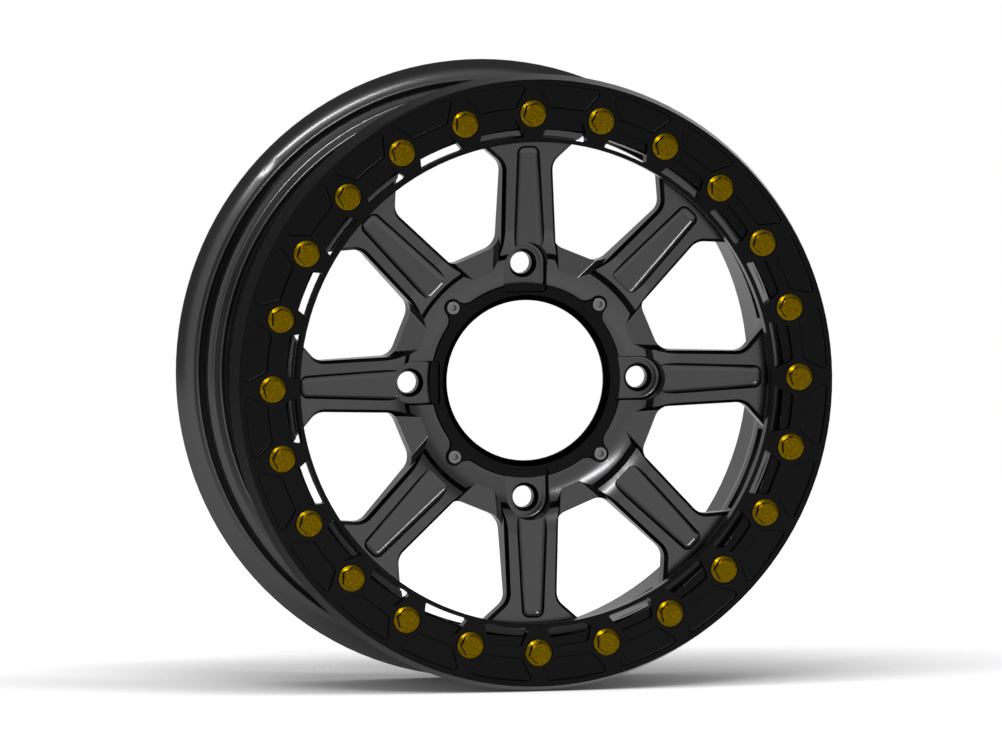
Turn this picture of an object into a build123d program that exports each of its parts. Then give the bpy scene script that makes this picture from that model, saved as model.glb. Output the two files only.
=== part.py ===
"""Beadlock wheel, 15 inch, on a four-lug 156 mm circle, standing upright.

The wheel's axis is world Y. The outboard face looks along -Y, and the origin is where
the axis meets the hub mounting face. Every height below is measured outboard from that
face, so a height h lies at y = -h, and an inboard height is negative. Lengths are mm.

The tools that cut pockets are drawn lying flat, with their z as the outboard height,
and the workplane Plane.XZ stands them up.
"""
import os
from math import asin, atan2, cos, degrees, radians, sin, tan

from build123d import *

os.makedirs("parts", exist_ok=True)

# Counts: every second spoke holds a lug seat, and a centre ring screw stands between two lugs
lug_count = 4
spokes_per_lug = 2
ring_bolt_count = 24

# Hub: the lug seats, then the centre ring's seat and the dished front, stacked outboard
hub_bore_r = 57.5
hub_pad_margin = 10.0
hub_flank_w = 2.0
lug_circle_r = 78.0
lug_hole_r = 7.2
lug_land = 7.8
lug_seat_depth = 4.2
lug_seat_half_angle = 30.0
lug_recess_half_w = 14.7
lug_recess_fillet = 2.0
cap_seat_rise = 2.2
cap_recess_depth = 5.2
dish_lip_w = 1.3
dish_w = 16.1
dish_rise = 14.1
dish_curve_r = 29.6
dish_step_w = 3.8
scoop_rise = 1.6
scoop_half_w = 14.0
scoop_half_angle = 26.3
scoop_draft = 45.0
scoop_fillet = 1.5

# Spokes, the windows between them and the channels along them
spoke_half_w_hub = 18.8
spoke_half_w_rim = 17.0
spoke_depth_hub = 22.0
spoke_depth_rim = 14.5
spoke_root_w = 9.0
spoke_root_drop = 5.0
spoke_root_fillet = 8.0
spoke_flank_w = 2.2
spoke_flank_depth = 3.6
crown_w = 15.7
crown_curve_r = 29.6
window_hub_margin = 2.9
window_rim_margin = 0.7
window_inner_fillet = 11.0
window_outer_fillet = 5.0
flare_length = 22.9
flare_angle = 48.6
flare_fillet = 11.0
channel_depth = 3.6
channel_draft = 30.0
channel_root_margin = 2.3
channel_flare_reach = 11.9
channel_wall_hub = 8.0
channel_wall_rim = 9.4
channel_corner = 3.0
channel_floor_fillet = 4.5

# Beadlock shoulder, which the ring bolts onto, and the bead stop behind it
bolt_inset = 10.7
shoulder_rise = 3.5
shoulder_inside = 10.6
shoulder_outside = 8.5
shoulder_depth = 24.0
shoulder_slope_w = 4.5
shoulder_slope_fillet = 2.0
shoulder_edge = 1.0
shoulder_back_w = 2.0
shoulder_back_drop = 1.0
shoulder_bore_run = 6.0
bead_stop_rise = 8.7
bead_stop_w = 5.0
bead_stop_back_run = 14.5
bead_stop_edge = 1.2

# Barrel, from the drop centre back to the rear flange
bead_seat_r = 190.5
bead_seat_w = 14.4
bead_seat_draft = 0.4
bead_seat_draft_run = 1.5
bead_seat_fillet = 1.0
barrel_wall = 5.8
well_depth = 9.9
well_w = 80.0
well_fillet = 10.0
drop_depth = 7.8
drop_w = 6.0
drop_ramp_w = 38.0
drop_fillet = 4.0
well_ramp_rise = 1.85
well_ramp_w = 8.0
hump_drop = 2.1
hump_ramp_w = 1.0
hump_w = 5.0
hump_foot_fillet = 1.5
hump_fillet = 2.0
flange_foot_rise = 1.8
flange_foot_w = 6.0
flange_foot_fillet = 1.5
flange_bend_rise = 7.3
flange_bend_w = 1.0
flange_bend_fillet = 14.0
flange_lip_rise = 6.8
flange_lip_w = 6.2
flange_edge_rise = 1.6
flange_edge_w = 2.4
flange_edge_fillet = 1.6
rear_bore_chamfer = 2.4
valve_hole_r = 5.75
valve_run = 56.0
valve_angle = 157.5

# Beadlock ring: pockets outside its bolts, slots inside them
ring_thickness = 12.0
ring_inside = 19.1
ring_skirt_inset = 0.7
ring_skirt_flare = 3.3
ring_skirt_overhang = 4.5
ring_register_gap = 0.4
ring_register_slope_w = 1.1
ring_rim_wall = 2.7
ring_rim_lift = 2.5
ring_rim_slope_w = 2.1
ring_outer_wall = 3.5
ring_edge = 0.9
ring_inner_edge = 0.4
bead_clamp_rise = 2.2
counterbore_depth = 1.0
counterbore_gap = 0.65
pocket_depth = 2.0
pocket_start = 3.6
pocket_bolt_wall_inner = 11.3
pocket_bolt_wall_outer = 2.6
pocket_corner = 2.6
pocket_floor_fillet = 1.2
slot_floor_depth = 3.4
slot_start = 3.7
slot_open_w = 5.4
slot_open_corner = 0.9
slot_bolt_wall_inner = 6.0
slot_bolt_wall_outer = 11.5
slot_corner = 2.6
slot_lip = 1.6

# Beadlock bolts: M8 flange bolts
bolt_r = 4.0
bolt_length = 25.0
bolt_flange_r = 8.95
bolt_flange_rim = 1.3
bolt_flange_edge = 0.5
bolt_head_height = 8.0
bolt_hex_flats = 13.0
bolt_hex_turn = -15.0
bolt_cone_angle = 25.0
bolt_crown_inset = 0.4
bolt_crown_angle = 30.0
bolt_end_chamfer = 0.8
bolt_clearance = 0.5
tapped_gap = 0.05
tapped_extra = 3.0

# Centre ring, the trim ring in the hub recess, and its M5 screws
cap_overlap = 4.1
cap_seat_w = 7.5
cap_thickness = 6.4
cap_lip = 2.0
cap_bevel_w = 3.8
cap_gap = 0.25
cap_edge = 0.6
ear_wall = 1.35
ear_bite = 0.35
ear_blend = 8.0
cap_notch_margin = 1.4
cap_notch_gap = 0.1
cap_notch_depth = 4.2
cap_notch_corner = 3.0
cap_notch_fillet = 1.0
screw_r = 2.5
screw_length = 13.5
screw_head_r = 4.35
screw_head_height = 5.0
screw_head_edge = 0.5
screw_end_chamfer = 0.5
screw_seat_depth = 3.0
screw_seat_gap = 0.25
screw_clearance = 0.5
screw_hex_flats = 4.0
screw_hex_depth = 2.6
screw_hole_extra = 1.0

# How far a cutting tool runs past the face that it opens
past = 1.0
above = 40.0

# Angles and counts worked out from the driving dimensions
spoke_count = spokes_per_lug * lug_count
spoke_pitch = 360.0 / spoke_count
half_pitch = radians(0.5 * spoke_pitch)
bolt_pitch = 360.0 / ring_bolt_count
half_bolt_pitch = radians(0.5 * bolt_pitch)
screw_start = 180.0 / lug_count

# Heights, stacked outboard from the mounting face
lug_pad_h = lug_land + lug_seat_depth
cap_seat_h = lug_pad_h + cap_seat_rise
cap_face_h = cap_seat_h + cap_thickness
screw_seat_h = cap_face_h - screw_seat_depth
dish_inner_h = cap_seat_h + cap_recess_depth
scoop_h = dish_inner_h + scoop_rise
spoke_face_h = dish_inner_h + dish_rise
spoke_back_hub_h = spoke_face_h - spoke_depth_hub
spoke_back_rim_h = spoke_face_h - spoke_depth_rim
shoulder_h = spoke_face_h + shoulder_rise
ring_face_h = shoulder_h + ring_thickness
bolt_seat_h = ring_face_h - counterbore_depth
skirt_back_h = shoulder_h - ring_skirt_overhang
rim_back_h = shoulder_h + ring_rim_lift
slot_floor_h = ring_face_h - slot_floor_depth

# Heights of the barrel, stacked inboard from the shoulder
shoulder_back_h = shoulder_h - shoulder_depth
well_front_h = shoulder_back_h - 0.5 * bead_stop_w - bead_stop_back_run
well_end_h = well_front_h - well_w
hump_foot_h = well_end_h - well_ramp_w
hump_h = hump_foot_h - hump_ramp_w
bead_seat_front_h = hump_h - hump_w
bead_seat_rear_h = bead_seat_front_h - bead_seat_w
flange_foot_h = bead_seat_rear_h - flange_foot_w
flange_bend_h = flange_foot_h - flange_bend_w
flange_lip_h = flange_bend_h - flange_lip_w
rear_face_h = flange_lip_h - flange_edge_w
drop_back_h = well_front_h - drop_w
drop_end_h = drop_back_h - drop_ramp_w
valve_h = well_front_h - valve_run

# Radii of the hub and the centre ring
lug_seat_r = lug_hole_r + lug_seat_depth * tan(radians(lug_seat_half_angle))
hub_pad_r = lug_circle_r + hub_pad_margin
cap_hole_r = hub_bore_r - cap_overlap
cap_bevel_r = cap_hole_r + cap_bevel_w
cap_outer_r = hub_bore_r + cap_seat_w
cap_notch_r = hub_bore_r + cap_notch_margin
cap_notch_half_w = lug_recess_half_w + cap_notch_gap
ear_r = screw_head_r + ear_wall
ear_circle_r = cap_outer_r + ear_r - ear_bite
dish_inner_r = cap_outer_r + cap_gap
dish_flat_r = cap_outer_r + dish_lip_w
dish_outer_r = dish_flat_r + dish_w
spoke_root_r = dish_outer_r + dish_step_w
crown_top_r = spoke_root_r + crown_w

# Radii of the shoulder, the windows and the channels
bolt_circle_r = bead_seat_r - bolt_inset
shoulder_inner_r = bolt_circle_r - shoulder_inside
shoulder_outer_r = bolt_circle_r + shoulder_outside
shoulder_foot_r = shoulder_inner_r - shoulder_slope_w
bead_stop_r = shoulder_outer_r + bead_stop_rise
window_inner_r = hub_pad_r + window_hub_margin
window_outer_r = shoulder_inner_r - window_rim_margin
flare_start_r = window_outer_r - flare_length
channel_hub_r = spoke_root_r + channel_root_margin
channel_rim_r = flare_start_r + channel_flare_reach
channel_half_w_hub = spoke_half_w_hub - channel_wall_hub
channel_half_w_rim = spoke_half_w_rim - channel_wall_rim
channel_wall_w = channel_depth * tan(radians(channel_draft))

# The dish turns up towards the spokes, and each spoke's crown turns down to meet it
dish_turn = asin(dish_w / dish_curve_r)
crown_turn = asin(crown_w / crown_curve_r)
dish_outer_h = dish_inner_h + dish_curve_r * (1 - cos(dish_turn))
flank_draft = degrees(atan2(spoke_flank_w, spoke_flank_depth))

# Radii of the barrel
barrel_r = bead_seat_r - well_depth
barrel_bore_r = barrel_r - barrel_wall
drop_r = barrel_r - drop_depth
drop_bore_r = drop_r - barrel_wall
hump_foot_r = barrel_r + well_ramp_rise
hump_r = bead_seat_r - hump_drop
flange_foot_r = bead_seat_r + flange_foot_rise
flange_bend_r = flange_foot_r + flange_bend_rise
flange_r = flange_bend_r + flange_lip_rise
rear_bore_r = bead_seat_r - barrel_wall

# Radii and half widths of the ring's pockets and slots
ring_inner_r = bolt_circle_r - ring_inside
ring_skirt_r = flange_r - ring_skirt_inset
ring_front_r = ring_skirt_r - ring_skirt_flare
register_r = shoulder_outer_r + ring_register_gap
counterbore_r = bolt_flange_r + counterbore_gap
pocket_inner_r = bolt_circle_r + pocket_start
pocket_outer_r = ring_front_r - ring_outer_wall
slot_inner_r = ring_inner_r + ring_rim_wall
slot_open_r = slot_inner_r + slot_open_w
slot_outer_r = bolt_circle_r - slot_start
lip_r = slot_open_r + slot_lip
pocket_half_w_inner = pocket_inner_r * sin(half_bolt_pitch) - pocket_bolt_wall_inner
pocket_half_w_outer = pocket_outer_r * sin(half_bolt_pitch) - pocket_bolt_wall_outer
slot_half_w_inner = slot_inner_r * sin(half_bolt_pitch) - slot_bolt_wall_inner
slot_half_w_outer = slot_outer_r * sin(half_bolt_pitch) - slot_bolt_wall_outer
slot_taper = (slot_half_w_outer - slot_half_w_inner) / (slot_outer_r - slot_inner_r)
slot_half_w_open = slot_half_w_inner + slot_taper * slot_open_w
slot_half_w_lip = slot_half_w_open + slot_taper * slot_lip


def at_height(points):
    """Turn (radius, outboard height) pairs into profile points in the XY plane."""
    return [(radius, -height) for radius, height in points]


def near(shapes, points):
    """Choose the vertices that stand on the given (x, y) points."""
    return [v for v in shapes if any(abs(v.X - x) + abs(v.Y - y) < 1e-4 for x, y in points)]


def sector_tool(inner_r, outer_r, half_w_inner, half_w_outer, corner, floor_h, top_h, floor_fillet):
    """Make one pocket tool: a ring sector with straight sides, round corners and a filleted floor.

    Args:
        inner_r, outer_r: radii of the curved edges.
        half_w_inner, half_w_outer: half widths at those two radii.
        corner: radius of the four upright corners.
        floor_h, top_h: outboard heights of the tool's floor and top.
        floor_fillet: fillet along the floor, or 0 for a through tool.

    Returns:
        The tool, centred on the local x axis.
    """
    slope = (half_w_outer - half_w_inner) / (outer_r - inner_r)
    reach_in = inner_r - 0.5 * (outer_r - inner_r)
    reach_out = outer_r + 0.5 * (outer_r - inner_r)
    w_in = half_w_inner + slope * (reach_in - inner_r)
    w_out = half_w_inner + slope * (reach_out - inner_r)
    with BuildPart() as tool:
        with BuildSketch(Plane.XY.offset(floor_h)) as outline:
            Circle(outer_r)
            Circle(inner_r, mode=Mode.SUBTRACT)
            Polygon((reach_in, -w_in), (reach_out, -w_out), (reach_out, w_out), (reach_in, w_in),
                    align=None, mode=Mode.INTERSECT)
            fillet(outline.vertices(), corner)
        extrude(amount=top_h - floor_h)
        if floor_fillet > 0:
            fillet(tool.faces().sort_by(Axis.Z)[0].edges(), floor_fillet)
    return tool.part


def cap_outline(extra):
    """Draw the centre ring's outline, with its ears blended in, grown by extra."""
    ring_r = cap_outer_r + extra
    lobe_r = ear_r + extra
    with BuildSketch() as outline:
        Circle(ring_r)
        with PolarLocations(ear_circle_r, lug_count, start_angle=screw_start):
            Circle(lobe_r)
        corners = [v for v in outline.vertices()
                   if abs(Vector(v.X, v.Y).length - ring_r) < 1e-4
                   and min(abs((Vector(v.X, v.Y) - ear).length - lobe_r) for ear in ear_centres) < 1e-4]
        fillet(corners, ear_blend - extra)
    return outline.sketch


ear_centres = [Vector(ear_circle_r, 0).rotate(Axis.Z, screw_start + k * 360.0 / lug_count)
               for k in range(lug_count)]

# The wheel's section: hub, spoke disc and barrel in one turned outline
seat_chain = [
    (hub_bore_r, 0.0),
    (hub_bore_r, cap_seat_h),
    (dish_inner_r, cap_seat_h),
    (dish_inner_r, dish_inner_h),
    (dish_flat_r, dish_inner_h),
]
front_chain = [
    (crown_top_r, spoke_face_h),
    (shoulder_foot_r, spoke_face_h),
    (shoulder_inner_r, shoulder_h),
    (shoulder_outer_r, shoulder_h),
]
stop_front = (bead_stop_r, shoulder_back_h + 0.5 * bead_stop_w)
stop_back = (bead_stop_r, shoulder_back_h - 0.5 * bead_stop_w)
barrel_chain = [
    (shoulder_outer_r, shoulder_back_h + bead_stop_w),
    stop_front,
    stop_back,
    (drop_r, well_front_h),
    (drop_r, drop_back_h),
    (barrel_r, drop_end_h),
    (barrel_r, well_end_h),
    (hump_foot_r, hump_foot_h),
    (hump_r, hump_h),
    (bead_seat_r, bead_seat_front_h),
    (bead_seat_r, bead_seat_rear_h),
    (flange_foot_r, flange_foot_h),
    (flange_bend_r, flange_bend_h),
    (flange_r, flange_lip_h),
    (flange_r - flange_edge_rise, rear_face_h),
]
spoke_root = (window_inner_r + spoke_root_w, spoke_back_hub_h)
inner_chain = [
    (rear_bore_r + rear_bore_chamfer, rear_face_h),
    (rear_bore_r, rear_face_h + rear_bore_chamfer),
    (rear_bore_r - bead_seat_draft, bead_seat_front_h + bead_seat_draft_run),
    (hump_foot_r - barrel_wall, hump_foot_h),
    (barrel_bore_r, well_end_h),
    (barrel_bore_r, drop_end_h),
    (drop_bore_r, drop_back_h),
    (drop_bore_r, shoulder_back_h - shoulder_bore_run),
    (shoulder_inner_r - shoulder_back_w, spoke_back_rim_h - shoulder_back_drop),
    (flare_start_r, spoke_back_rim_h),
    spoke_root,
    (hub_pad_r + hub_flank_w, spoke_back_hub_h - spoke_root_drop),
    (hub_pad_r, 0.0),
    (hub_bore_r, 0.0),
]
section_fillets = [
    ((shoulder_foot_r, spoke_face_h), shoulder_slope_fillet),
    ((shoulder_outer_r, shoulder_h), shoulder_edge),
    (stop_front, bead_stop_edge),
    (stop_back, bead_stop_edge),
    ((drop_r, well_front_h), drop_fillet),
    ((barrel_r, drop_end_h), well_fillet),
    ((barrel_r, well_end_h), well_fillet),
    ((hump_foot_r, hump_foot_h), hump_foot_fillet),
    ((hump_r, hump_h), hump_fillet),
    ((bead_seat_r, bead_seat_rear_h), bead_seat_fillet),
    ((flange_foot_r, flange_foot_h), flange_foot_fillet),
    ((flange_bend_r, flange_bend_h), flange_bend_fillet),
    ((flange_r, flange_lip_h), flange_edge_fillet),
    (spoke_root, spoke_root_fillet),
]


# One window between two spokes, with its centre line along local x
def beside_spoke(along, offset):
    """Place a point by its distance along the neighbour spoke and its offset from that spoke's line."""
    x = along * cos(half_pitch) + offset * sin(half_pitch)
    y = along * sin(half_pitch) - offset * cos(half_pitch)
    return x, y


side_taper = (spoke_half_w_hub - spoke_half_w_rim) / (flare_start_r - window_inner_r)
flare_rise = tan(radians(90.0 - flare_angle))
inner_along = (window_inner_r - spoke_half_w_hub * sin(half_pitch)) / cos(half_pitch)
outer_offset = (window_outer_r + flare_rise * spoke_half_w_rim * cos(half_pitch)
                - flare_start_r * cos(half_pitch)) / (flare_rise * cos(half_pitch) + sin(half_pitch))
outer_along = flare_start_r + flare_rise * (outer_offset - spoke_half_w_rim)
window_side = [
    beside_spoke(inner_along, spoke_half_w_hub - side_taper * (inner_along - window_inner_r)),
    beside_spoke(flare_start_r, spoke_half_w_rim),
    beside_spoke(outer_along, outer_offset),
]
window_outline = window_side + [(x, -y) for x, y in reversed(window_side)]

# The same sides run on towards the axis until they meet, which parts the spokes' raised faces
meet_along = ((spoke_half_w_hub + side_taper * window_inner_r) * cos(half_pitch)
              / (sin(half_pitch) + side_taper * cos(half_pitch)))
meet_x = beside_spoke(meet_along, meet_along * tan(half_pitch))[0]
parting_outline = [(meet_x, 0)] + window_side[1:] + [(x, -y) for x, y in reversed(window_side[1:])]


def gap_tool(points, corners, floor_h, top_h, taper):
    """Make one cutter for the gap between two spokes.

    Args:
        points: the corners of its outline.
        corners: (points, radius) pairs of the corners to round.
        floor_h, top_h: outboard heights of its floor and top.
        taper: degrees that its sides lean in, or negative where it spreads upwards.

    Returns:
        The cutter, ended at the window's outer edge, with its centre line along the local x axis.
    """
    with BuildPart() as tool:
        with BuildSketch(Plane.XY.offset(floor_h)) as outline:
            Polygon(*points, align=None)
            for chosen, radius in corners:
                fillet(near(outline.vertices(), chosen), radius)
        extrude(amount=top_h - floor_h, taper=taper)
        with BuildSketch(Plane.XY.offset(floor_h)):
            with Locations((0.5 * window_outer_r, 0)):
                Rectangle(window_outer_r, 2 * window_outer_r)
        extrude(amount=top_h - floor_h, mode=Mode.INTERSECT)
    return tool.part


# Tools that repeat around the wheel
inner_corners = [window_side[0], (window_side[0][0], -window_side[0][1])]
flare_corners = [window_side[1], (window_side[1][0], -window_side[1][1])]
outer_corners = [window_side[2], (window_side[2][0], -window_side[2][1])]
flare_rounding = [(flare_corners, flare_fillet), (outer_corners, window_outer_fillet)]
window_rounding = flare_rounding + [(inner_corners, min(window_inner_fillet, window_side[0][1]))]
window_cut = gap_tool(window_outline, window_rounding, -past, shoulder_h + past, 0.0)
shelf_cut = gap_tool(parting_outline, flare_rounding, dish_outer_h, shoulder_h + past, 0.0)
flank_cut = gap_tool(parting_outline, flare_rounding, spoke_face_h - spoke_flank_depth, spoke_face_h,
                     -flank_draft)

with BuildPart() as channel_cut:
    with BuildSketch(Plane.XY.offset(spoke_face_h - channel_depth)) as channel_outline:
        Polygon((channel_hub_r, channel_wall_w - channel_half_w_hub),
                (channel_rim_r - channel_wall_w, channel_wall_w - channel_half_w_rim),
                (channel_rim_r - channel_wall_w, channel_half_w_rim - channel_wall_w),
                (channel_hub_r, channel_half_w_hub - channel_wall_w), align=None)
        fillet(channel_outline.vertices(), channel_corner)
    extrude(amount=channel_depth, taper=-channel_draft)
    fillet(channel_cut.faces().sort_by(Axis.Z)[0].edges(), channel_floor_fillet)

with BuildPart() as lug_recess:
    with BuildSketch(Plane.XY.offset(lug_pad_h)) as lug_outline:
        with Locations((lug_circle_r, 0)):
            Circle(lug_recess_half_w)
        with Locations((0.5 * (lug_circle_r + cap_notch_r), 0)):
            Rectangle(lug_circle_r - cap_notch_r, 2 * lug_recess_half_w)
    extrude(amount=above)
    fillet(lug_recess.faces().sort_by(Axis.Z)[0].edges(), lug_recess_fillet)

with BuildPart() as lug_hole:
    with BuildSketch(Plane.XZ) as lug_section:
        with BuildLine():
            Polyline((0, -past), (lug_hole_r, -past), (lug_hole_r, lug_land), (lug_seat_r, lug_pad_h),
                     (lug_seat_r, lug_pad_h + past), (0, lug_pad_h + past), close=True)
        make_face()
    revolve(axis=Axis.Z)

scoop_spread = tan(radians(scoop_half_angle))
scoop_start_w = scoop_half_w - scoop_spread * (window_inner_r - dish_flat_r)
scoop_end_r = window_inner_r + window_inner_fillet
scoop_end_w = scoop_half_w + scoop_spread * window_inner_fillet

with BuildPart() as scoop:
    with BuildSketch(Plane.XY.offset(scoop_h)):
        Polygon((dish_flat_r, -scoop_start_w), (scoop_end_r, -scoop_end_w),
                (scoop_end_r, scoop_end_w), (dish_flat_r, scoop_start_w), align=None)
    extrude(amount=dish_outer_h + past - scoop_h, taper=-scoop_draft)
    fillet(scoop.faces().sort_by(Axis.Z)[0].edges(), scoop_fillet)
    with BuildSketch(Plane.XY.offset(scoop_h)):
        Polygon(*parting_outline, align=None)
    extrude(amount=dish_outer_h + past - scoop_h, mode=Mode.INTERSECT)

# Wheel: one forged and turned piece
with BuildPart(Plane.XZ) as wheel:
    with BuildSketch(Plane.XY) as wheel_section:
        with BuildLine():
            Polyline(*at_height(seat_chain))
            dish_arc = CenterArc((dish_flat_r, -dish_inner_h - dish_curve_r), dish_curve_r,
                                 90.0, -degrees(dish_turn))
            crown_arc = CenterArc((crown_top_r, crown_curve_r - spoke_face_h), crown_curve_r,
                                  -90.0 - degrees(crown_turn), degrees(crown_turn))
            Line(dish_arc @ 1, crown_arc @ 0)
            Polyline(*at_height(front_chain + barrel_chain + inner_chain))
        make_face()
        for point, radius in section_fillets:
            fillet(near(wheel_section.vertices(), at_height([point])), radius)
    revolve(axis=Axis.Y)
    with PolarLocations(0, spoke_count, start_angle=0.5 * spoke_pitch):
        add(window_cut, mode=Mode.SUBTRACT)
        add(shelf_cut, mode=Mode.SUBTRACT)
        add(flank_cut, mode=Mode.SUBTRACT)
        add(scoop.part, mode=Mode.SUBTRACT)
    with PolarLocations(0, spoke_count):
        add(channel_cut.part, mode=Mode.SUBTRACT)
    with PolarLocations(0, lug_count):
        add(lug_recess.part, mode=Mode.SUBTRACT)
    with PolarLocations(lug_circle_r, lug_count):
        add(lug_hole.part, mode=Mode.SUBTRACT)
    with BuildSketch(Plane.XZ.offset(cap_seat_h)):
        add(cap_outline(cap_gap))
    extrude(amount=above, mode=Mode.SUBTRACT)
    with BuildSketch(Plane.XZ.offset(shoulder_h)):
        with PolarLocations(bolt_circle_r, ring_bolt_count):
            Circle(bolt_r + tapped_gap)
    extrude(amount=-(bolt_length - (bolt_seat_h - shoulder_h) + tapped_extra), mode=Mode.SUBTRACT)
    with BuildSketch(Plane.XZ.offset(cap_seat_h)):
        with PolarLocations(ear_circle_r, lug_count, start_angle=screw_start):
            Circle(screw_r + tapped_gap)
    extrude(amount=-(screw_length - (screw_seat_h - cap_seat_h) + screw_hole_extra), mode=Mode.SUBTRACT)
    valve_plane = Plane(origin=(0, -valve_h, 0), x_dir=(0, 1, 0),
                        z_dir=(cos(radians(valve_angle)), 0, sin(radians(valve_angle))))
    with BuildSketch(valve_plane.offset(barrel_bore_r - above)):
        Circle(valve_hole_r)
    extrude(amount=barrel_wall + 2 * above, mode=Mode.SUBTRACT)
wheel.part.label = "wheel"
export_step(wheel.part, "parts/wheel.step")

# Beadlock ring, with its pocket and slot tools
pocket_cut = sector_tool(pocket_inner_r, pocket_outer_r, pocket_half_w_inner, pocket_half_w_outer,
                         pocket_corner, ring_face_h - pocket_depth, ring_face_h + past,
                         pocket_floor_fillet)
slot_recess = sector_tool(slot_inner_r, slot_outer_r, slot_half_w_inner, slot_half_w_outer,
                          slot_corner, slot_floor_h, ring_face_h + past, 0.0)
slot_cut = sector_tool(slot_inner_r, slot_open_r, slot_half_w_inner, slot_half_w_open,
                       slot_open_corner, shoulder_h - past, ring_face_h + past, 0.0)
slot_lip_block = sector_tool(slot_inner_r, lip_r, slot_half_w_inner, slot_half_w_lip,
                             slot_open_corner, slot_floor_h - slot_lip, ring_face_h, 0.0)

with BuildPart() as slot_lip_cut:
    with BuildSketch(Plane.XZ) as lip_section:
        with BuildLine():
            Polyline((slot_open_r, slot_floor_h - slot_lip), (slot_inner_r, slot_floor_h - slot_lip),
                     (slot_inner_r, slot_floor_h), (lip_r, slot_floor_h))
            RadiusArc((lip_r, slot_floor_h), (slot_open_r, slot_floor_h - slot_lip), -slot_lip)
        make_face()
    revolve(axis=Axis.Z)
    add(slot_lip_block, mode=Mode.INTERSECT)

ring_chain = [
    (ring_inner_r, ring_face_h),
    (ring_front_r, ring_face_h),
    (ring_skirt_r, skirt_back_h),
    (register_r + ring_register_slope_w, skirt_back_h + bead_clamp_rise),
    (register_r, shoulder_h),
    (slot_inner_r + ring_rim_slope_w + slot_open_w, shoulder_h),
    (slot_inner_r + slot_open_w - ring_rim_slope_w, rim_back_h),
    (ring_inner_r, rim_back_h),
]

with BuildPart(Plane.XZ) as beadlock_ring:
    with BuildSketch(Plane.XY) as ring_section:
        with BuildLine():
            Polyline(*at_height(ring_chain), close=True)
        make_face()
        fillet(near(ring_section.vertices(), at_height([(ring_front_r, ring_face_h)])), ring_edge)
        fillet(near(ring_section.vertices(), at_height([(ring_skirt_r, skirt_back_h)])), ring_edge)
        chamfer(near(ring_section.vertices(), at_height([(ring_inner_r, ring_face_h)])), ring_inner_edge)
    revolve(axis=Axis.Y)
    with PolarLocations(0, ring_bolt_count, start_angle=0.5 * bolt_pitch):
        add(pocket_cut, mode=Mode.SUBTRACT)
        add(slot_recess, mode=Mode.SUBTRACT)
        add(slot_cut, mode=Mode.SUBTRACT)
        add(slot_lip_cut.part, mode=Mode.SUBTRACT)
    with BuildSketch(Plane.XZ.offset(bolt_seat_h)):
        with PolarLocations(bolt_circle_r, ring_bolt_count):
            Circle(counterbore_r)
    extrude(amount=above, mode=Mode.SUBTRACT)
    with BuildSketch(Plane.XZ.offset(skirt_back_h)):
        with PolarLocations(bolt_circle_r, ring_bolt_count):
            Circle(bolt_r + bolt_clearance)
    extrude(amount=above, mode=Mode.SUBTRACT)
beadlock_ring.part.label = "beadlock_ring"
export_step(beadlock_ring.part, "parts/beadlock_ring.step")

# Beadlock bolts: one flange bolt, drawn lying with its seat at z = 0, then set round the ring
hex_flat_r = 0.5 * bolt_hex_flats
hex_corner_r = hex_flat_r / cos(radians(30.0))
crown_r = hex_flat_r - bolt_crown_inset
cone_h = bolt_flange_rim + (bolt_flange_r - hex_flat_r) * tan(radians(bolt_cone_angle))
crown_h = bolt_head_height - (hex_corner_r - crown_r) * tan(radians(bolt_crown_angle))

with BuildPart() as one_bolt:
    with BuildSketch(Plane.XY):
        RegularPolygon(hex_corner_r, 6, rotation=bolt_hex_turn)
    extrude(amount=bolt_head_height)
    with BuildSketch(Plane.XZ) as crown_section:
        with BuildLine():
            Polyline((0, 0), (hex_corner_r, 0), (hex_corner_r, crown_h), (crown_r, bolt_head_height),
                     (0, bolt_head_height), close=True)
        make_face()
    revolve(axis=Axis.Z, mode=Mode.INTERSECT)
    with BuildSketch(Plane.XZ) as flange_section:
        with BuildLine():
            Polyline((0, -bolt_length), (bolt_r - bolt_end_chamfer, -bolt_length),
                     (bolt_r, bolt_end_chamfer - bolt_length), (bolt_r, 0), (bolt_flange_r, 0),
                     (bolt_flange_r, bolt_flange_rim), (hex_flat_r, cone_h), (0, cone_h), close=True)
        make_face()
        fillet(near(flange_section.vertices(), [(bolt_flange_r, bolt_flange_rim)]), bolt_flange_edge)
    revolve(axis=Axis.Z)

with BuildPart(Plane.XZ.offset(bolt_seat_h)) as beadlock_bolts:
    with PolarLocations(bolt_circle_r, ring_bolt_count):
        add(one_bolt.part)
beadlock_bolts.part.label = "beadlock_bolts"
export_step(beadlock_bolts.part, "parts/beadlock_bolts.step")

# Centre ring, seated in the hub recess and notched in line with the lug recesses
notch_outer_r = cap_outer_r + ear_r
with BuildPart() as notch_cut:
    with BuildSketch(Plane.XY.offset(cap_face_h - cap_notch_depth)) as notch_outline:
        with Locations((0.5 * (cap_notch_r + notch_outer_r), 0)):
            Rectangle(notch_outer_r - cap_notch_r, 2 * cap_notch_half_w)
        fillet(notch_outline.vertices().group_by(Axis.X)[0], cap_notch_corner)
    extrude(amount=above)
    fillet(notch_cut.faces().sort_by(Axis.Z)[0].edges(), cap_notch_fillet)

with BuildPart() as cap_bevel:
    with BuildSketch(Plane.XZ):
        with BuildLine():
            Polyline((0, cap_seat_h - past), (cap_hole_r, cap_seat_h - past),
                     (cap_hole_r, cap_seat_h + cap_lip), (cap_bevel_r, cap_face_h),
                     (cap_bevel_r, cap_face_h + past), (0, cap_face_h + past), close=True)
        make_face()
    revolve(axis=Axis.Z)

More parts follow.
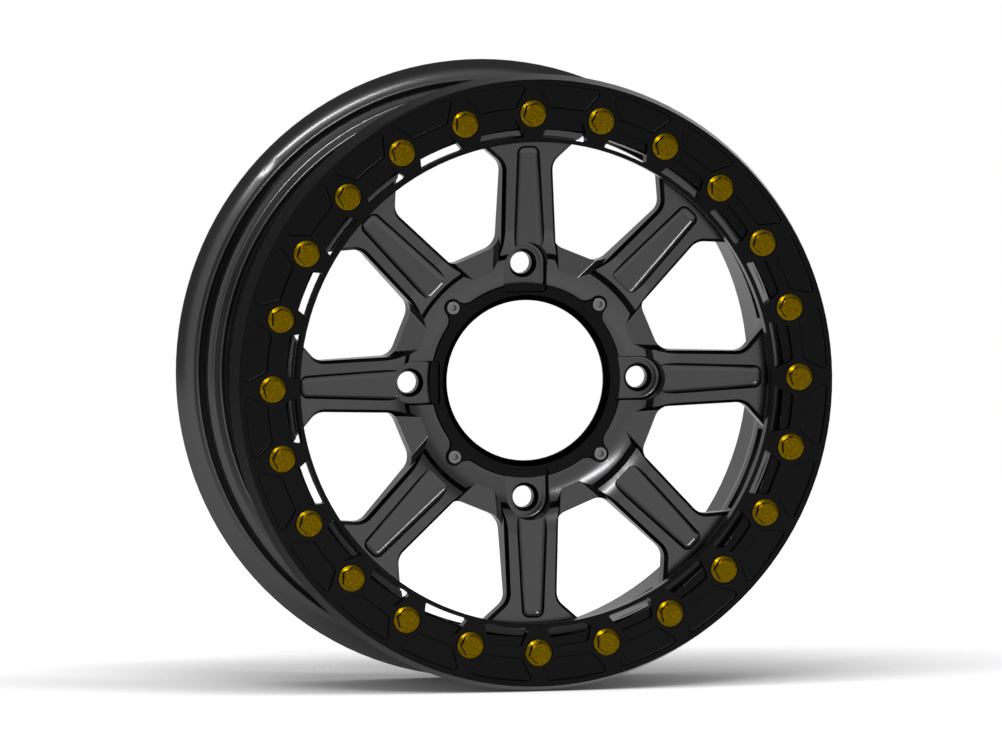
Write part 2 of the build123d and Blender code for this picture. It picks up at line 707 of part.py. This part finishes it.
with BuildPart(Plane.XZ) as centre_ring:
    with BuildSketch(Plane.XZ.offset(cap_seat_h)):
        add(cap_outline(0.0))
    extrude(amount=cap_thickness)
    chamfer(centre_ring.faces().sort_by(Axis.Y)[0].edges(), cap_edge)
    add(cap_bevel.part, mode=Mode.SUBTRACT)
    with PolarLocations(0, lug_count):
        add(notch_cut.part, mode=Mode.SUBTRACT)
    with BuildSketch(Plane.XZ.offset(screw_seat_h)):
        with PolarLocations(ear_circle_r, lug_count, start_angle=screw_start):
            Circle(screw_head_r + screw_seat_gap)
    extrude(amount=above, mode=Mode.SUBTRACT)
    with BuildSketch(Plane.XZ.offset(cap_seat_h - past)):
        with PolarLocations(ear_circle_r, lug_count, start_angle=screw_start):
            Circle(screw_r + screw_clearance)
    extrude(amount=cap_thickness, mode=Mode.SUBTRACT)
centre_ring.part.label = "centre_ring"
export_step(centre_ring.part, "parts/centre_ring.step")

# Centre ring screws: socket heads, drawn with the seat at z = 0
with BuildPart() as one_screw:
    with BuildSketch(Plane.XZ) as screw_section:
        with BuildLine():
            Polyline((0, -screw_length), (screw_r, -screw_length), (screw_r, 0), (screw_head_r, 0),
                     (screw_head_r, screw_head_height), (0, screw_head_height), close=True)
        make_face()
        fillet(near(screw_section.vertices(), [(screw_head_r, screw_head_height)]), screw_head_edge)
        chamfer(near(screw_section.vertices(), [(screw_r, -screw_length)]), screw_end_chamfer)
    revolve(axis=Axis.Z)
    with BuildSketch(Plane.XY.offset(screw_head_height)):
        RegularPolygon(0.5 * screw_hex_flats / cos(radians(30.0)), 6)
    extrude(amount=-screw_hex_depth, mode=Mode.SUBTRACT)

with BuildPart(Plane.XZ.offset(screw_seat_h)) as centre_ring_screws:
    with PolarLocations(ear_circle_r, lug_count, start_angle=screw_start):
        add(one_screw.part)
centre_ring_screws.part.label = "centre_ring_screws"
export_step(centre_ring_screws.part, "parts/centre_ring_screws.step")
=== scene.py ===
"""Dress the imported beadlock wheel: coats, plating, stage, lights and camera.

Every length is in metres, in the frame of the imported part: the wheel's axis is Y, its
outboard face looks along -Y, and Z is up.
"""
import logging
import math
from dataclasses import dataclass, field
from enum import Enum
from typing import Union

import bmesh
import bpy
from mathutils import Matrix, Vector


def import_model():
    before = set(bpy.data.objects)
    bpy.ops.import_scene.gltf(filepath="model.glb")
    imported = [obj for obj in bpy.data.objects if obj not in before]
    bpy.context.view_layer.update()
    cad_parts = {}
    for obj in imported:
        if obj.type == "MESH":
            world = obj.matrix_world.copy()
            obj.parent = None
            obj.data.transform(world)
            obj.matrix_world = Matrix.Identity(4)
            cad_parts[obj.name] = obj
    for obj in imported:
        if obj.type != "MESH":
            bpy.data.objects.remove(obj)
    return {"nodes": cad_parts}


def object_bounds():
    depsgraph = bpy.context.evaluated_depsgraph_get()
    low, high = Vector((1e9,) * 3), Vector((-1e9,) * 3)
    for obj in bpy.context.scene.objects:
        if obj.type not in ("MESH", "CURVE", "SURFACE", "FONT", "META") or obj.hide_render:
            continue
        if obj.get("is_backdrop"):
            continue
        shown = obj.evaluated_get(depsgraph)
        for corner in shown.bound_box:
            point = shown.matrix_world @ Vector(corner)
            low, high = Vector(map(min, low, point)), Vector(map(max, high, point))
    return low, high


log = logging.getLogger("beadlock_wheel")

Colour = tuple[float, float, float]
WHITE: Colour = (1.0, 1.0, 1.0)
Operand = Union["Value", float]


class Node(Enum):
    """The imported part's nodes."""

    WHEEL = "wheel"
    RING = "beadlock_ring"
    BOLTS = "beadlock_bolts"
    CAP = "centre_ring"
    SCREWS = "centre_ring_screws"


class Value:
    """A shader socket that takes part in Python arithmetic."""

    def __init__(self, tree: "Shader", socket: bpy.types.NodeSocket) -> None:
        """Keep the socket and the tree that new Math nodes go into."""
        self.tree = tree
        self.socket = socket

    def _math(self, operation: str, first: Operand, second: Operand) -> "Value":
        """Add one Math node.

        Args:
            operation: the Math node's operation.
            first: its first operand.
            second: its second operand.

        Returns:
            The node's result.
        """
        return self.tree.node("ShaderNodeMath", {"operation": operation}, {0: first, 1: second})

    def __add__(self, other: Operand) -> "Value":
        """Return self + other."""
        return self._math("ADD", self, other)

    def __radd__(self, other: Operand) -> "Value":
        """Return other + self."""
        return self._math("ADD", other, self)

    def __sub__(self, other: Operand) -> "Value":
        """Return self - other."""
        return self._math("SUBTRACT", self, other)

    def __rsub__(self, other: Operand) -> "Value":
        """Return other - self."""
        return self._math("SUBTRACT", other, self)

    def __mul__(self, other: Operand) -> "Value":
        """Return self * other."""
        return self._math("MULTIPLY", self, other)

    def __rmul__(self, other: Operand) -> "Value":
        """Return other * self."""
        return self._math("MULTIPLY", other, self)

    def at_most(self, other: Operand) -> "Value":
        """Return the smaller of self and other."""
        return self._math("MINIMUM", self, other)


class Shader:
    """A node tree with one way to make a node."""

    def __init__(self, tree: bpy.types.NodeTree) -> None:
        """Empty the tree and keep it."""
        tree.nodes.clear()
        self.tree = tree

    def node(self, kind: str, settings: dict[str, object] | None = None,
             inputs: dict[int | str, object] | None = None, output: int | str = 0) -> Value:
        """Make a node, set it up, fill its sockets and return one output.

        Args:
            kind: the node's type.
            settings: attributes of the node, or the stops of its ramp under "stops".
            inputs: values or links by socket index or name.
            output: which output to return.

        Returns:
            The chosen output as a Value.
        """
        made = self.tree.nodes.new(kind)
        for name, setting in (settings or {}).items():
            if name == "stops":
                self._set_stops(made.color_ramp, setting)
            else:
                setattr(made, name, setting)
        for key, given in (inputs or {}).items():
            if isinstance(given, Value):
                self.tree.links.new(given.socket, made.inputs[key])
            else:
                made.inputs[key].default_value = given
        return Value(self, made.outputs[output] if made.outputs else None)

    @staticmethod
    def _set_stops(ramp: bpy.types.ColorRamp, stops: list[tuple[float, float]]) -> None:
        """Set a ramp's stops from (place, grey level) pairs."""
        while len(ramp.elements) < len(stops):
            ramp.elements.new(1.0)
        for element, (place, level) in zip(ramp.elements, stops):
            element.position = place
            element.color = (level, level, level, 1.0)

    def place(self) -> Value:
        """Return the Object coordinates."""
        return self.node("ShaderNodeTexCoord", output="Object")

    def noise(self, where: Value, grain: float, detail: float = 2.0) -> Value:
        """Return noise from 0 to 1.

        Args:
            where: the coordinates.
            grain: the size of one blotch, in metres.
            detail: the octaves of finer noise.

        Returns:
            The noise's factor.
        """
        return self.node("ShaderNodeTexNoise", None,
                         {"Vector": where, "Scale": 1.0 / grain, "Detail": detail})

    def mix(self, factor: Operand, low: object, high: object) -> Value:
        """Mix two colours.

        Args:
            factor: 0 for low, 1 for high.
            low: a colour, or a Value that carries one.
            high: a colour, or a Value that carries one.

        Returns:
            The mixed colour.
        """
        return self.node("ShaderNodeMix", {"data_type": "RGBA"}, {0: factor, 6: low, 7: high}, 2)

    def bump(self, height: Value, depth: float, strength: float) -> Value:
        """Return a normal bent by a height map.

        Args:
            height: the height, from 0 to 1.
            depth: what a height of 1 stands for, in metres.
            strength: how much of the bend is used.

        Returns:
            The bent normal.
        """
        return self.node("ShaderNodeBump", None,
                         {"Strength": strength, "Distance": depth, "Height": height}, "Normal")

    def surface(self, inputs: dict[str, object]) -> None:
        """End the tree in a Principled surface with the given inputs."""
        closure = self.node("ShaderNodeBsdfPrincipled", None, inputs, "BSDF")
        self.node("ShaderNodeOutputMaterial", None, {"Surface": closure})


def rgba(colour: Colour, gain: float = 1.0) -> tuple[float, float, float, float]:
    """Return a colour times gain, with full alpha."""
    return tuple(min(1.0, gain * part) for part in colour) + (1.0,)


def new_material(name: str) -> tuple[bpy.types.Material, Shader]:
    """Return a new material and its empty tree."""
    made = bpy.data.materials.new(name)
    made.use_nodes = True
    return made, Shader(made.node_tree)


def direction(azimuth: float, elevation: float) -> Vector:
    """Return the unit vector from the wheel towards an azimuth and elevation in degrees."""
    turn = math.radians(azimuth)
    lift = math.radians(elevation)
    return Vector((math.sin(turn) * math.cos(lift), -math.cos(turn) * math.cos(lift), math.sin(lift)))


@dataclass(frozen=True)
class Coat:
    """A metallic coat or plating: a colour that drifts slowly, with a fine speckled grain, partly painted
    glints on the gold plate.

    Attributes:
        name: the material's name.
        tone: the colour's middle.
        gloss: the middle of the roughness.
        edge: how much of a metal's glancing reflection is left.
        spread: how far the colour drifts either way, as a share of the tone.
        speckle_and_sparkle: how far single grains stand out in colour, as a share of the tone; random
            grain, and on the gold plate also painted glints.
        grain: the size of one grain, in metres.
        grain_depth: how high a grain stands, in metres.
        grain_strength: how much of the grain shows in the light.
    """

    name: str
    tone: Colour
    gloss: float
    edge: float
    spread: float = 0.06
    speckle_and_sparkle: float = 0.05
    grain: float = 0.0006
    grain_depth: float = 0.00002
    grain_strength: float = 0.2

    DRIFT_SIZE = 0.045
    DRIFT_DETAIL = 3.0
    GLOSS_DRIFT = 0.05
    GRAIN_STOPS = [(0.52, 0.0), (0.72, 1.0)]
    GRAIN_GAIN = 4.0

    def material(self) -> bpy.types.Material:
        """Build the material and return it."""
        made, shader = new_material(self.name)
        where = shader.place()
        drift = shader.noise(where, self.DRIFT_SIZE, self.DRIFT_DETAIL)
        grains = shader.noise(where, self.grain)
        shader.surface({
            "Base Color": self.colour(shader, drift, grains),
            "Roughness": self.gloss + (drift - 0.5) * (2.0 * self.GLOSS_DRIFT),
            "Metallic": 1.0,
            "Specular Tint": rgba((self.edge, self.edge, self.edge)),
            "Normal": shader.bump(grains, self.grain_depth, self.grain_strength),
        })
        return made

    def colour(self, shader: Shader, drift: Value, grains: Value) -> Value:
        """Return the coat's colour: a slow drift, then single brighter grains, which on the gold plate are
        partly painted glints.

        Args:
            shader: the tree to build in.
            drift: the slow noise.
            grains: the fine noise.

        Returns:
            The colour.
        """
        slow = shader.mix(drift, rgba(self.tone, 1.0 - self.spread), rgba(self.tone, 1.0 + self.spread))
        # Brighter single grains in the colour: random grain in every coat, and on the gold plate also
        # painted glints.
        light = shader.node("ShaderNodeValToRGB", {"stops": self.GRAIN_STOPS}, {"Fac": grains})
        bright = rgba(self.tone, 1.0 + self.GRAIN_GAIN * self.speckle_and_sparkle)
        return shader.mix(light, slow, bright)


GUNMETAL = Coat("gunmetal_coat", tone=(0.0595, 0.0595, 0.061), gloss=0.21, edge=0.52,
                spread=0.03, speckle_and_sparkle=0.03, grain_strength=0.08)
RING_BLACK = Coat("ring_black_coat", tone=(0.0071, 0.0071, 0.0074), gloss=0.2, edge=0.54, speckle_and_sparkle=0.1)
CAP_BLACK = Coat("cap_black_coat", tone=(0.0071, 0.0071, 0.0074), gloss=0.2, edge=0.5, speckle_and_sparkle=0.1)
# The gold plate's strong speckle is partly painted glints in its colour; its grain bump gives the real
# ones.
GOLD_ZINC = Coat("gold_zinc_plate", tone=(0.104, 0.0645, 0.0002), gloss=0.25, edge=0.3,
                 spread=0.08, speckle_and_sparkle=0.25, grain=0.0014, grain_depth=0.00012, grain_strength=0.5)
BRIGHT_ZINC = Coat("bright_zinc_plate", tone=(0.14, 0.14, 0.144), gloss=0.35, edge=0.5)


@dataclass
class DressedWheel:
    """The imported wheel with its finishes.

    Attributes:
        nodes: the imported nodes' objects by name.
        finishes: the coat that each node wears.
    """

    nodes: dict[str, bpy.types.Object]
    finishes: dict[Node, Coat] = field(default_factory=lambda: {
        Node.WHEEL: GUNMETAL,
        Node.RING: RING_BLACK,
        Node.BOLTS: GOLD_ZINC,
        Node.CAP: CAP_BLACK,
        Node.SCREWS: BRIGHT_ZINC,
    })

    def dress(self) -> None:
        """Put each node's coat on its object."""
        for node, coat in self.finishes.items():
            piece = self.nodes[node.value]
            piece.data.materials.clear()
            piece.data.materials.append(coat.material())
            log.info("%s wears %s", node.value, coat.name)


@dataclass(frozen=True)
class Softbox:
    """A long studio lamp that is aimed at the wheel's middle.

    Attributes:
        name: the lamp's name.
        azimuth: where it stands, in degrees to the right of the wheel's face.
        elevation: how high it stands, in degrees above the axis.
        distance: how far it stands from the wheel's middle.
        width: the width of its panel.
        height: the height of its panel.
        power: its power in watts.
    """

    name: str
    azimuth: float
    elevation: float
    distance: float
    width: float
    height: float
    power: float

    def hang(self) -> bpy.types.Object:
        """Make the lamp, aim it and return it."""
        data = bpy.data.lights.new(self.name, "AREA")
        data.shape = "ELLIPSE"
        data.size = self.width
        data.size_y = self.height
        data.energy = self.power
        lamp = bpy.data.objects.new(self.name, data)
        bpy.context.scene.collection.objects.link(lamp)
        back = direction(self.azimuth, self.elevation)
        lamp.location = back * self.distance
        lamp.rotation_euler = (-back).to_track_quat("-Z", "Y").to_euler()
        lamp.visible_camera = False
        return lamp


KEY = Softbox("key_softbox", azimuth=-14.0, elevation=32.0, distance=2.6, width=1.4, height=0.2, power=28.0)


@dataclass(frozen=True)
class Studio:
    """The paper that the wheel stands on, the world and the lamp.

    Attributes:
        ground: the height of the floor.
        floor_radius: the radius of the paper.
        floor_sides: how many sides the paper has.
        floor_tone: the paper's colour.
        floor_glow: the light that makes the paper look white.
        shade_reach: how near the wheel has to be to shade the paper.
        shade_from: the azimuth and elevation that the shade falls away from, in degrees.
        shade_samples: how many rays measure the shade.
        side_level: the world's level at the wheel's sides.
        end_level: its level before and behind the wheel.
        back_rise: where along Y the level starts and ends its rise behind the wheel.
        front_rise: the same before the wheel.
    """

    ground: float
    floor_radius: float = 2.2
    floor_sides: int = 96
    floor_tone: Colour = (0.6, 0.6, 0.6)
    floor_glow: float = 0.72
    shade_reach: float = 0.42
    shade_from: tuple[float, float] = (-8.0, 20.0)
    shade_samples: int = 8
    side_level: float = 0.4
    end_level: float = 1.0
    back_rise: tuple[float, float] = (-0.1, 0.6)
    front_rise: tuple[float, float] = (-0.45, -0.85)

    def build(self) -> None:
        """Lay the floor, set the world and hang the lamp."""
        self.lay_floor()
        log.info("laid the floor")
        self.set_world()
        log.info("set the world")
        KEY.hang()
        log.info("hung %s", KEY.name)

    def lay_floor(self) -> None:
        """Make the pale floor under the wheel."""
        sheet = bmesh.new()
        bmesh.ops.create_circle(sheet, cap_ends=True, segments=self.floor_sides, radius=self.floor_radius,
                                matrix=Matrix.Translation((0.0, 0.0, self.ground)))
        mesh = bpy.data.meshes.new("floor")
        sheet.to_mesh(mesh)
        sheet.free()
        mesh.materials.append(self.floor_paper())
        floor = bpy.data.objects.new("floor", mesh)
        bpy.context.scene.collection.objects.link(floor)
        floor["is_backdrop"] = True

    def floor_paper(self) -> bpy.types.Material:
        """Return a pale paper that is seen as white outside the wheel's shade."""
        made, shader = new_material("floor_paper")
        pulp = shader.node("ShaderNodeBsdfDiffuse", None, {"Color": rgba(self.floor_tone)}, "BSDF")
        shine = shader.node("ShaderNodeEmission", None,
                            {"Color": rgba(WHITE), "Strength": self.glow(shader)}, "Emission")
        both = shader.node("ShaderNodeAddShader", None, {0: pulp, 1: shine}, "Shader")
        shader.node("ShaderNodeOutputMaterial", None, {"Surface": both})
        return made

    def glow(self, shader: Shader) -> Value:
        """Return the paper's glow, which the wheel shades, and less so in a mirror.

        Args:
            shader: the tree.

        Returns:
            The strength of the glow.
        """
        straight, mirrored, through = (
            shader.node("ShaderNodeLightPath", output=name)
            for name in ("Is Camera Ray", "Is Glossy Ray", "Is Transmission Ray"))
        lit_from = shader.node("ShaderNodeCombineXYZ", None, dict(enumerate(direction(*self.shade_from))))
        open_sky = shader.node("ShaderNodeAmbientOcclusion", {"samples": self.shade_samples},
                               {"Distance": self.shade_reach, "Normal": lit_from}, "AO")
        square = open_sky * open_sky
        shade = square * square * square
        in_mirror = (mirrored + through).at_most(1.0 - straight)
        return self.floor_glow * (straight * shade + in_mirror * open_sky)

    def set_world(self) -> None:
        """Set a world that is white before and behind the wheel, and dim at its sides."""
        world = bpy.data.worlds.new("studio")
        bpy.context.scene.world = world
        world.use_nodes = True
        shader = Shader(world.node_tree)
        toward = shader.node("ShaderNodeTexCoord", output="Generated")
        depth = shader.node("ShaderNodeSeparateXYZ", None, {0: toward}, "Y")
        ends = self.rise(shader, depth, self.back_rise) + self.rise(shader, depth, self.front_rise)
        level = self.side_level + ends * (self.end_level - self.side_level)
        light = shader.node("ShaderNodeBackground", None, {"Color": rgba(WHITE), "Strength": level},
                            "Background")
        shader.node("ShaderNodeOutputWorld", None, {"Surface": light})

    @staticmethod
    def rise(shader: Shader, along: Value, span: tuple[float, float]) -> Value:
        """Return a smooth rise from 0 to 1.

        Args:
            shader: the tree.
            along: what the rise runs along.
            span: where it leaves 0 and where it reaches 1.

        Returns:
            The rise.
        """
        return shader.node("ShaderNodeMapRange", {"interpolation_type": "SMOOTHSTEP"},
                           {"Value": along, "From Min": span[0], "From Max": span[1]})


@dataclass(frozen=True)
class Camera:
    """The photograph's parallel view.

    Attributes:
        azimuth: degrees to the right of the wheel's face.
        elevation: degrees above the axis.
        roll: degrees that the wheel leans to the left in the picture.
        width: how much of the frame the picture's width takes in.
        aim: the point of the wheel that the picture is set by.
        aim_right: how far that point lies right of the picture's middle.
        aim_up: how far it lies above the picture's middle.
        distance: how far back the camera stands.
    """

    azimuth: float = -12.88
    elevation: float = 3.60
    roll: float = 0.565
    width: float = 0.66698
    aim: tuple[float, float, float] = (0.0, -0.049, 0.0)
    aim_right: float = 0.02326
    aim_up: float = -0.00741
    distance: float = 2.0

    def place(self) -> bpy.types.Object:
        """Make the scene's camera and return it."""
        back = direction(self.azimuth, self.elevation)
        level = Vector((math.cos(math.radians(self.azimuth)), math.sin(math.radians(self.azimuth)), 0.0))
        upright = back.cross(level)
        lean = math.radians(self.roll)
        right = math.cos(lean) * level - math.sin(lean) * upright
        up = math.sin(lean) * level + math.cos(lean) * upright
        spot = Vector(self.aim) - self.aim_right * right - self.aim_up * up + self.distance * back
        data = bpy.data.cameras.new("camera")
        data.type = "ORTHO"
        data.ortho_scale = self.width
        camera = bpy.data.objects.new("camera", data)
        bpy.context.scene.collection.objects.link(camera)
        turn = Matrix((right, up, back)).transposed().to_4x4()
        camera.matrix_world = Matrix.Translation(spot) @ turn
        bpy.context.scene.camera = camera
        return camera


def main() -> None:
    """Build the dressed wheel, its stage and its camera."""
    logging.basicConfig(level=logging.INFO)
    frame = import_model()
    cad_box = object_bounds()
    bpy.context.scene.view_settings.view_transform = "Standard"
    DressedWheel(frame["nodes"]).dress()
    Studio(ground=cad_box[0].z).build()
    camera = Camera().place()
    log.info("placed the %s", camera.name)


if __name__ == "__main__":
    main()
